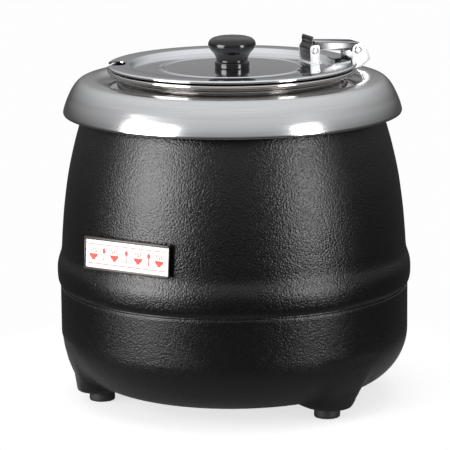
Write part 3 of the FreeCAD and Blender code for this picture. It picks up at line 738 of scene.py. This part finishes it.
leaf = spline([(87.0, 318.72), (80.4, 318.72), (78.5, 319.4), (77.4, 320.9), (77.2, 323.2), (76.6, 326.0), (76.1, 329.2),
               (76.4, 332.2), (77.6, 334.6), (78.4, 336.2), (78.4, 338.2), (78.2, 340.0), (78.7, 341.8), (79.4, 343.2)], 0.8)
leaf_ob = slab("leaf", leaf + offset(leaf, -0.8)[::-1], -12.2, 12.2, "uz", 0.16)
move(leaf_ob, ROT_H)
leaf_ob.name = "lid_clip_leaf"
# the clip leaf takes the near-black copy of the hinge steel: painted dark reflection
dress(leaf_ob, "hinge_painted_shade", "lid", ["lid_clip_spring"])
rv = []
for v in (-7.0, 7.0):
    rv.append(lathe("r", rounded([(0, 320.5), (1.6, 320.4, 0.8), (2.5, 319.6, 0.3), (1.5, 319.56), (1.5, 316.6), (2.5, 316.55), (1.8, 315.7, 0.8), (0, 315.6)]), 32, 50, (84.0, v, 0)))
rvo = join("lid_bracket_rivet_pair", rv)
tidy(rvo, 50)
move(rvo, ROT_H)
dress(rvo, "hinge", "lid", ["lid_bracket_rivets"])

# arm: a channel with rounded bends, sloping down to the rear, its flanges shaped round the two pins
SLOPE = -3.5 / 46.7
sec = rounded([(-11.6, 318.0), (-11.6, 338.2, 1.5), (11.6, 338.2, 1.5), (11.6, 318.0), (10.6, 318.0),
               (10.6, 337.2, 0.6), (-10.6, 337.2, 0.6), (-10.6, 318.0)], n=6)
chan = slab("arm", sec, 78.0, 131.2, "yz", 0)
for v_ in chan.data.vertices:
    v_.co.z += (v_.co.x - 81.8 * MM) * SLOPE
side = slab("side", rounded([(81.8, 339.2), (81.6, 337.4, 1), (79.3, 333.2, 2), (77.9, 329.6, 3), (78.5, 326.6, 2), (81.0, 325.5, 3), (84.2, 326.9, 3), (86.4, 329.4, 2.5),
                             (118.0, 327.3, 2.5), (121.6, 324.9, 3), (126.4, 322.9, 4), (130.6, 325.0, 4), (131.3, 329.2, 4), (128.8, 333.6, 2), (128.4, 339.0)], n=6),
            -14, 14, "uz", 0)
boolean(chan, side, "INTERSECT")
soften(chan, 0.2, 2, 40)
chan.name = "hinge_arm_channel"
move(chan, ROT_H)
dress(chan, "lid", "arm", ["hinge_arm"])
# side faces of the channel take the near-black hinge steel: painted shade and dark reflection; the top faces keep the
# mirror steel
chan.data.materials.append(M["hinge_painted_shade"])
for f_ in chan.data.polygons:
    if abs(f_.normal.z) < 0.72:
        f_.material_index = 1
pin = hollow_rivet("front_pin_rivet", FU, FZ, 3.6, 1.7, 13.75, 0.95, 1.95)
move(pin, ROT_H)
dress(pin, "pin", "arm", ["front_hinge_pin"])

# rim bracket: upright web, two cheeks, a sloping back plate and a tongue riveted to the pot's neck
parts = []
for s in (-1, 1):
    lo, hi = sorted((s * 12.6, s * 13.6))
    parts.append(cheek("rb_c%d" % s, [(120.2, 309.3, 0.3), (123.6, 309.7, 1.5), (130.8, 311.4, 1.2), (139.9, 318.2, 1.4), (135.6, 327.9, 4), (131.8, 332.4, 4),
                                      (126.6, 333.6, 5.0), (121.2, 331.6, 4.0), (120.2, 326.0, 3)], lo, hi))
parts.append(slab("rb_web", rounded([(120.2, 308.9, 0.3), (121.4, 308.9, 0.3), (121.4, 320.4, 0.3), (120.2, 320.4, 0.3)]), -12.7, 12.7, "uz", 0.15))
parts.append(slab("rb_back", rounded([(130.6, 311.6, 0.3), (139.7, 318.3, 0.3), (139.1, 319.1, 0.3), (130.0, 312.4, 0.3)]), -12.7, 12.7, "uz", 0.15))
parts.append(slab("rb_tongue", rounded([(109.7, -9.0), (121.3, -9.0, 0.3), (121.3, 9.0, 0.3), (109.7, 9.0), (110.0, 4.5), (110.1, 0), (110.0, -4.5)], n=3), 308.9, 309.9, "xy", 0.15))
tab_pts = []
for k in range(-8, 9):
    a = k / 8 * math.asin(9.0 / 110.0)
    tab_pts.append((110.05 * cos(a), 110.05 * sin(a)))
for k in range(8, -9, -1):
    a = k / 8 * math.asin(9.0 / 110.0)
    tab_pts.append((111.2 * cos(a), 111.2 * sin(a)))
parts.append(slab("rb_tab", tab_pts, 302.0, 309.6, "xy", 0.15))
rb = join("rim_bracket_clip", parts)
move(rb, ROT_H)
dress(rb, "hinge", "pot", ["rim_bracket"])
pin = hollow_rivet("rear_pin_rivet", RU, RZ, 4.2, 2.0, 13.75, 0.95, 2.45)
move(pin, ROT_H)
dress(pin, "pin", "pot", ["rear_hinge_pin"])

# --------------------------------------------------------------------- label
LABEL_AZ, LABEL_TILT = 31.5, 4.5
n_ = Vector((-sin(radians(LABEL_AZ)), -cos(radians(LABEL_AZ)), 0))
ex = Vector((cos(radians(LABEL_AZ)), -sin(radians(LABEL_AZ)), 0))
nt = Vector((n_.x * cos(radians(LABEL_TILT)), n_.y * cos(radians(LABEL_TILT)), sin(radians(LABEL_TILT))))
ey = nt.cross(ex)
org = (n_ * 166.6 + ex * -12.5 + Vector((0, 0, 162.8))) * MM
LAB = Matrix(((ex.x, ey.x, nt.x, org.x), (ex.y, ey.y, nt.y, org.y), (ex.z, ey.z, nt.z, org.z), (0, 0, 0, 1)))
HW, HH = 45.9, 15.5
# C-section holder swept along its length, closed at its left end
lip = rounded([(-HH, 0.0, 0.4), (HH, 0.0, 0.4), (HH, 3.2, 0.8), (HH - 2.6, 3.2, 0.35), (HH - 2.6, 2.4), (HH - 1.2, 2.4), (HH - 1.2, 1.0),
               (-HH + 1.2, 1.0), (-HH + 1.2, 2.4), (-HH + 2.6, 2.4), (-HH + 2.6, 3.2, 0.35), (-HH, 3.2, 0.8)], n=4)
hold = slab("h", lip, -HW, HW, "yz", 0.12)
stop = brick("s", -HW, -HW + 1.2, -HH + 0.9, HH - 0.9, 0.6, 3.1, 0.2)
hold = join("label_holder_channel", [hold, stop])
move(hold, LAB)
dress(hold, "frame", "kettle", ["label_holder"])
card = brick("label_card_white", -HW + 1.5, HW - 0.4, -HH + 1.5, HH - 1.5, 1.3, 2.1, 0.1)
move(card, LAB)
dress(card, "paper", "card", ["label_card"])


def disc_pts(cx, cy, r, a0=0, a1=360, n=24):
    return [(cx + r * cos(radians(a0 + (a1 - a0) * k / n)), cy + r * sin(radians(a0 + (a1 - a0) * k / n))) for k in range(n + (a1 - a0 != 360))]


ink = []


def inked(pts):
    ink.append(slab("i", pts, 2.08, 2.16, "xy", 0))


def bowl(cx, cy, s):
    inked(disc_pts(cx, cy, 4.6 * s, 180, 360, 18))
    inked([(cx - 2.0 * s, cy - 5.6 * s), (cx + 2.0 * s, cy - 5.6 * s), (cx + 1.5 * s, cy - 4.3 * s), (cx - 1.5 * s, cy - 4.3 * s)])
    for k in (-1, 0, 1):
        w = [(cx + k * 2.6 * s + 0.55 * s * sin(t * 2 * pi), cy + (1.0 + t * 4.4) * s) for t in np.linspace(0, 1, 9)]
        inked([(x - 0.45 * s, y) for x, y in w] + [(x + 0.45 * s, y) for x, y in w[::-1]])


def spoon(cx, cy, s):
    inked([(cx + 1.7 * s * cos(radians(a)), cy + 3.3 * s + 2.5 * s * sin(radians(a))) for a in range(0, 360, 18)])
    inked([(cx - 0.42 * s, cy + 1.0 * s), (cx + 0.42 * s, cy + 1.0 * s), (cx + 0.62 * s, cy - 5.6 * s), (cx - 0.62 * s, cy - 5.6 * s)])


for i, cx in enumerate((-36, -24.5, -13, 0, 13, 24.5, 36)):
    if i % 2 == 0:
        bowl(cx, 0.2, 1.02)
    else:
        spoon(cx, 0.0, 1.02)
inked([(-42.0, -9.3), (42.0, -9.3), (42.0, -8.6), (-42.0, -8.6)])
inked([(-42.0, 8.6), (42.0, 8.6), (42.0, 9.3), (-42.0, 9.3)])
pr = join("label_pictures", ink)
tidy(pr)
move(pr, LAB)
dress(pr, "print", "card")

# ---------------------------------------------------------------------- feet
ft = []
for a in FOOT_ANGLES:
    x, y = FOOT_RING * cos(radians(a)), FOOT_RING * sin(radians(a))
    ft.append(lathe("f", rounded([(6.0, 4.0), (6.0, 0.0, 0.5), (12.2, 0.0, 1.2), (12.4, 3.0, 0.4), (12.3, 5.0, 0.4), (11.5, 9.99, 0.3), (2.1, 9.99), (2.1, 4.0)]), 64, 40, (x, y, 0)))
feet = join("rubber_feet_set", ft)
tidy(feet, 40)
dress(feet, "rubber", "kettle", ["rubber_feet"])

# ------------------------------------------------------------------ controls
PY = 149.0
panel = brick("p", -54.6, 54.6, 147.5, PY, 34.4, 89.6, 0.2)
walls = []


def shell_y(x, z):
    if z >= 66:
        r = 167.3
    else:
        r = 115.3 + math.sqrt(max(0, 52 ** 2 - (66 - z) ** 2))
    return math.sqrt(r * r - x * x)


def tray_wall(side):
    """One wall of the recess, its outer edge following the shell's curve."""
    pts_o, n = [], 24
    for k in range(n + 1):
        t = k / n
        if side in ("l", "r"):
            x = -56.0 if side == "l" else 56.0
            z = WIN_Z0 + t * (WIN_Z1 - WIN_Z0)
            pts_o.append((shell_y(55.3, z) - 0.15, z))
        else:
            x = -56.0 + t * 112.0
            z = WIN_Z0 + 0.75 if side == "b" else WIN_Z1 - 0.75
            pts_o.append((x, shell_y(x, z) - 0.15))
    if side in ("l", "r"):
        x0, x1 = (-55.9, -54.5) if side == "l" else (54.5, 55.9)
        poly = [(147.6, WIN_Z0 + 0.1)] + pts_o + [(147.6, WIN_Z1 - 0.1)]
        return slab("w", poly, x0, x1, "yz", 0.15)
    z0, z1 = (WIN_Z0 + 0.1, WIN_Z0 + 1.5) if side == "b" else (WIN_Z1 - 1.5, WIN_Z1 - 0.1)
    poly = [(-55.9, 147.6)] + [(max(-55.9, min(55.9, x)), y) for x, y in pts_o] + [(55.9, 147.6)]
    return slab("w", poly, z0, z1, "xy", 0.15)


tray = join("control_panel_tray", [panel] + [tray_wall(s) for s in "lrtb"])
tidy(tray, 40)
dress(tray, "lower", "kettle", ["control_panel"])
# dial with a grip bar, ticks round it on the panel
DX, DZ = -28.0, 62.0
d0 = lathe("d0", rounded([(0, 153.25), (17.6, 153.25, 0.6), (17.9, 155.0, 0.8), (16.6, 156.3, 1.0), (14.2, 157.0, 1.2), (13.2, 159.2, 1.0), (0, 159.2)]), 128, 40, (DX, 0, DZ), "y")
d1 = slab("d1", rounded([(-4.8, -13.4, 3.5), (4.8, -13.4, 3.5), (4.0, 13.4, 3.2), (-4.0, 13.4, 3.2)], n=6), 0, 8.0, "xy", 0.9, segs=3)
move(d1, Matrix.Translation(Vector((DX, 158.0, DZ)) * MM) @ Matrix.Rotation(radians(-90), 4, "X") @ Matrix.Scale(-1, 4, (0, 1, 0)))
tidy(d1)
dial = join("control_dial_grip", [d0, d1])
tidy(dial, 40)
dress(dial, "mould", "dial", ["control_dial"])
ptr = brick("dial_pointer_line", -0.6, 0.6, 5.0, 12.2, 7.95, 8.12, 0)
move(ptr, Matrix.Translation(Vector((DX, 158.0, DZ)) * MM) @ Matrix.Rotation(radians(-90), 4, "X") @ Matrix.Scale(-1, 4, (0, 1, 0)))
tidy(ptr)
dress(ptr, "tick", "dial")
tk = []
for i in range(10):
    a = radians(90 + 0 - 30 * i)
    w, l0, l1 = (0.45, 19.6, 22.4) if i else (0.8, 19.6, 23.2)
    c, s = cos(a), sin(a)
    q = [(-w, l0), (w, l0), (w, l1), (-w, l1)]
    pts = [(DX - (p * s + r * c), DZ + (r * s - p * c)) for p, r in q]
    t_ = slab("t", pts, 148.98, 149.12, "uz", 0)
    tk.append(t_)
ticks = join("dial_scale_ticks", tk)
tidy(ticks)
dress(ticks, "tick", "kettle")
lamp = lathe("indicator_lamp_lens", rounded([(0, 136.0), (4.9, 136.0), (4.9, 149.0), (6.6, 149.0, 0.3), (6.5, 150.6, 0.5), (5.4, 152.2, 1.6), (2.5, 153.1, 2), (0, 153.2)]), 64, 40, (8, 0, 62), "y")
dress(lamp, "lens", "kettle", ["indicator_lamp"])
g0 = lathe("g0", rounded([(3.6, 140.0), (6.4, 140.0, 0.4), (6.4, 149.0), (8.2, 149.0)] + [(8.2, 153.5), (8.4, 153.6, 0.4), (8.0, 156.0, 1.5), (6.6, 158.4, 0.8), (3.6, 158.4, 0.4)]), 64, 40, (38, 0, 56), "y")
g1 = hexnut("g1", 9.6, (38, 149.0, 56), "y", 4.5)
gl = join("cord_gland_body", [g0])
tidy(gl, 40)
dress(gl, "mould", "kettle", ["cord_gland"])
dressing = g1
g1c = lathe("g1c", [(0, 148), (6.8, 148), (6.8, 155), (0, 155)], 48, 40, (38, 0, 56), "y")
boolean(g1, g1c)
tidy(g1, 40)
g1.name = "cord_gland_hex"
dress(g1, "mould", "kettle")


def panhead(x, z, y, r):
    b = lathe("s", rounded([(0, y), (r, y, 0.2), (r, y + 0.8, 0.7), (r * 0.6, y + 1.7, 1.0), (0, y + 1.8)]), 40, 40, (x, 0, z), "y")
    c1 = brick("c", x - 2.0, x + 2.0, y + 1.1, y + 3.0, z - 0.35, z + 0.35, 0)
    c2 = brick("c", x - 0.35, x + 0.35, y + 1.1, y + 3.0, z - 2.0, z + 2.0, 0)
    boolean(b, c1)
    boolean(b, c2)
    return b


ps = [panhead(x, z, PY, 3.0) for x in (-49, 49) for z in (39.5, 84.5)]
pso = join("panel_screw_heads", ps)
tidy(pso, 30)
dress(pso, "zinc", "kettle", ["panel_screws"])

# -------------------------------------------- nodes that keep their CAD shape
KEEP = {
    "zinc": ["collar_studs", "collar_nuts", "heater_clamp_plate", "centre_stud", "heater_nut", "base_plate", "base_screws",
             "base_nuts", "base_centre_nut", "foot_screws", "foot_nuts", "thermostat_nut", "thermostat_shaft", "label_rivets",
             "knob_washer", "knob_screw"],
    "hinge": ["rim_bracket_rivets"],
    "cast": ["heating_element"],
    "copper": ["sensing_tube"],
    "white": ["terminal_block", "thermostat_body"],
    "mould": ["thermal_cutout", "gland_nut"],
    "frame": ["label_bracket"],
}
for mat, names in KEEP.items():
    for nm in names:
        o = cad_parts[nm]
        o.data.materials.clear()
        o.data.materials.append(M[mat])

# --------------------------------------------------------- floor, light, sky
bpy.ops.mesh.primitive_plane_add(size=16, location=(0, 0, -0.0002))
floor = bpy.context.object
floor.name = "floor"
nf = Nodes("floor_pale")
fa = nf.noise(3.0, 3.0, 0.5)
nf.set(Base_Color=nf.ramp(fa, [(0.3, (0.90, 0.90, 0.90)), (0.7, (0.92, 0.92, 0.92))]), Roughness=0.9)
# the sweep melts into the white backdrop away from the kettle
sp = nf.n("ShaderNodeSeparateXYZ")
nf.l(nf.co, sp.inputs[0])
rad = nf.math("SQRT", nf.math("ADD", nf.math("MULTIPLY", sp.outputs[0], sp.outputs[0]), nf.math("MULTIPLY", sp.outputs[1], sp.outputs[1])))
fade = nf.maprange(rad, 0.15, 0.34, 0.72, 1.0)
clear = nf.n("ShaderNodeBsdfTransparent")
glow = nf.n("ShaderNodeMixShader")
nf.l(fade, glow.inputs[0])
nf.l(nf.b.outputs[0], glow.inputs[1])
nf.l(clear.outputs[0], glow.inputs[2])
nf.l(glow.outputs[0], nf.t.nodes["Material Output"].inputs["Surface"])
floor.data.materials.append(nf.mat)


def area(name, loc, target, size, power, color=(1, 1, 1), shape="RECTANGLE", spread=180, glossy=True):
    l = bpy.data.lights.new(name, "AREA")
    l.shape = shape
    l.size, l.size_y = size
    l.energy = power
    l.color = color
    l.spread = radians(spread)
    o = link(bpy.data.objects.new(name, l))
    o.location = loc
    o.rotation_euler = (Vector(target) - Vector(loc)).to_track_quat("-Z", "Y").to_euler()
    o.visible_camera = False
    o.visible_glossy = glossy
    return o


def at(az, dist, z):
    """A place at az degrees right of the camera's side of the kettle."""
    return (dist * sin(radians(az)), -dist * cos(radians(az)), z)


area("top_soft", (0, 0.1, 2.2), (0, 0, 0), (2.6, 2.6), 40, glossy=False)
area("front_wash", at(-34, 2.6, 0.9), (0, 0, 0.2), (1.6, 1.2), 6, glossy=False)
area("softbox_left", at(-57, 1.7, 0.50), (0, 0, 0.20), (1.05, 1.20), 42)
area("softbox_right", at(50, 1.9, 0.50), (0, 0, 0.20), (0.50, 1.20), 22)

# the studio: a plain neutral sky, lighter towards the ceiling
w = bpy.data.worlds.new("studio")
bpy.context.scene.world = w
w.use_nodes = True
wt = w.node_tree
wt.nodes.clear()


def wn(kind, **kw):
    nd = wt.nodes.new(kind)
    for k, v in kw.items():
        setattr(nd, k, v)
    return nd


def wm(op, a, b=0.0, clamp=False):
    nd = wn("ShaderNodeMath", operation=op, use_clamp=clamp)
    for i, v in enumerate((a, b)):
        if isinstance(v, (int, float)):
            nd.inputs[i].default_value = v
        else:
            wt.links.new(v, nd.inputs[i])
    return nd.outputs[0]


def wramp(fac, stops):
    nd = wn("ShaderNodeValToRGB")
    els = nd.color_ramp.elements
    while len(els) < len(stops):
        els.new(0.5)
    for e, (p, v) in zip(els, stops):
        e.position = p
        c = v if isinstance(v, tuple) else (v, v, v)
        e.color = (*c, 1.0)
    wt.links.new(fac, nd.inputs[0])
    return nd.outputs[0]


tc = wn("ShaderNodeTexCoord")
sep = wn("ShaderNodeSeparateXYZ")
wt.links.new(tc.outputs["Generated"], sep.inputs[0])
X, Y, Z = sep.outputs
up = wm("ADD", wm("MULTIPLY", wm("ARCSINE", Z), 1.0 / pi), 0.5)      # 0 straight down, 0.5 level, 1 straight up
sky = wramp(up, [(0.44, 0.05), (0.50, 0.09), (0.58, 0.36), (0.68, 0.66), (0.82, 0.84), (1.0, 0.84)])
bg = wn("ShaderNodeBackground")
wt.links.new(sky, bg.inputs["Color"])
bg.inputs["Strength"].default_value = 1.15
bg2 = wn("ShaderNodeBackground")
bg2.inputs["Color"].default_value = (1, 1, 1, 1)
bg2.inputs["Strength"].default_value = 0.985
lp = wn("ShaderNodeLightPath")
mix = wn("ShaderNodeMixShader")
wt.links.new(lp.outputs["Is Camera Ray"], mix.inputs[0])
wt.links.new(bg.outputs[0], mix.inputs[1])
wt.links.new(bg2.outputs[0], mix.inputs[2])
out = wn("ShaderNodeOutputWorld")
wt.links.new(mix.outputs[0], out.inputs[0])
sc = bpy.context.scene
sc.view_settings.view_transform = "Standard"
sc.view_settings.look = "None"
sc.view_settings.exposure = 0.0
sc.view_settings.gamma = 1.0
